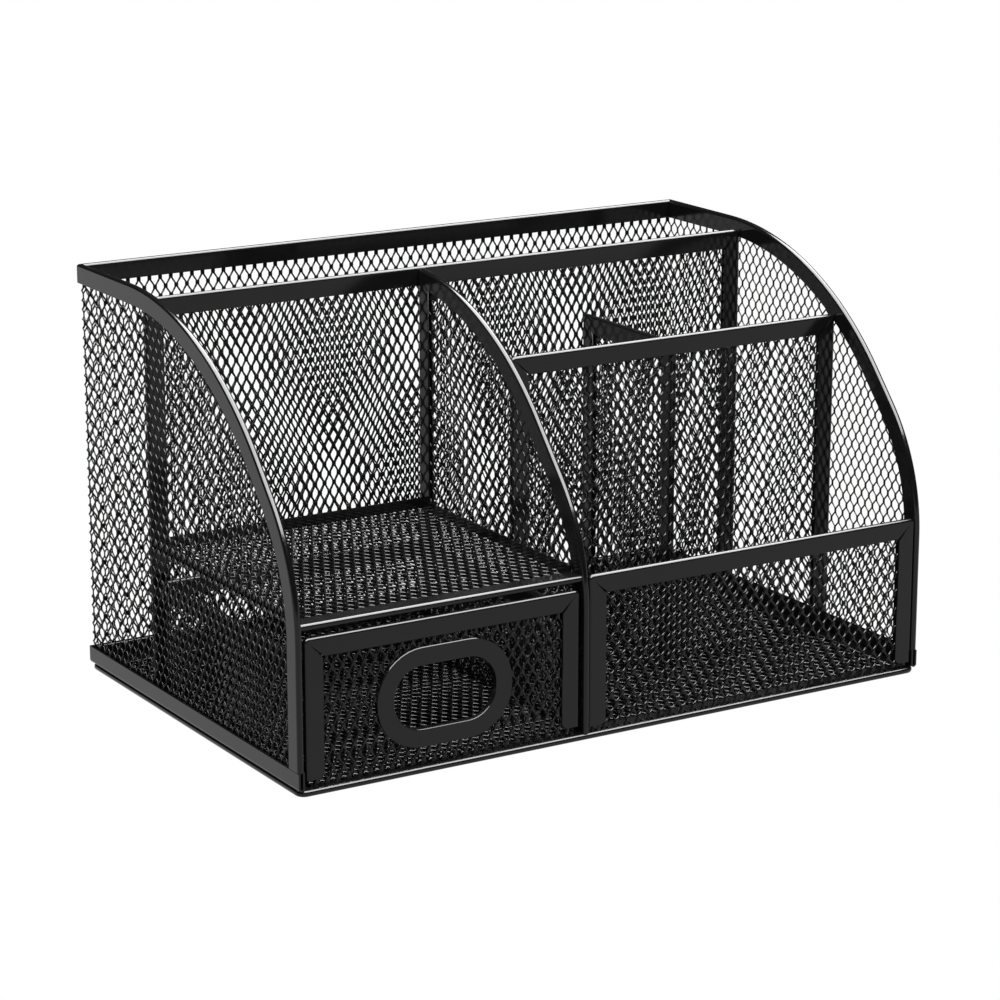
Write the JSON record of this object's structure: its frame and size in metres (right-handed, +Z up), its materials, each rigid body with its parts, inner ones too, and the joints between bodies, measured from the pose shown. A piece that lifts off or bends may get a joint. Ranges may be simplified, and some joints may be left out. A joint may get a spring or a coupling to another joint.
{
  "type": "pen stand with drawer",
  "caption": "Desk organizer of black expanded steel mesh with a full-width rear bay, square pen cells, an open front tray, a shelf and a sliding drawer with a finger ring.",
  "frame": {"origin": "middle of the underside, on the surface that the stand rests on", "axes": "+X to the right as seen from the front, along the width; +Y to the back; +Z up"},
  "size_m": [0.22, 0.14, 0.13],
  "materials": {
    "mesh_black": "satin powder coat on expanded steel mesh",
    "edging_black": "satin powder coat on folded steel strip",
    "ring_black": "satin powder coat on pressed steel"
  },
  "bodies": {
    "housing": {"base_edging": "edging_black", "left_side_edging": "edging_black", "right_side_edging": "edging_black", "back_top_edging": "edging_black", "rear_divider_edging": "edging_black", "centre_divider_edging": "edging_black", "shelf_front_edging": "edging_black", "pen_panel_edging": "edging_black", "pen_divider_edging": "edging_black", "tray_front_edging": "edging_black", "left_bottom_band": "edging_black", "right_bottom_band": "edging_black", "back_bottom_band": "edging_black", "base_mesh": "mesh_black", "left_side_mesh": "mesh_black", "right_side_mesh": "mesh_black", "back_mesh": "mesh_black", "rear_divider_mesh": "mesh_black", "centre_divider_mesh": "mesh_black", "shelf_mesh": "mesh_black", "pen_panel_mesh": "mesh_black", "pen_divider_mesh": "mesh_black", "tray_front_mesh": "mesh_black"},
    "drawer": {"drawer_front_edging": "edging_black", "drawer_left_rim": "edging_black", "drawer_right_rim": "edging_black", "drawer_back_rim": "edging_black", "drawer_front_mesh": "mesh_black", "drawer_floor_mesh": "mesh_black", "drawer_left_mesh": "mesh_black", "drawer_right_mesh": "mesh_black", "drawer_back_mesh": "mesh_black", "drawer_pull_ring": "ring_black"}
  },
  "joints": [
    {"name": "drawer_slide", "type": "slide", "parent": "housing", "child": "drawer", "axis": [0, -1, 0], "range_m": [0, 0.075]}
  ]
}
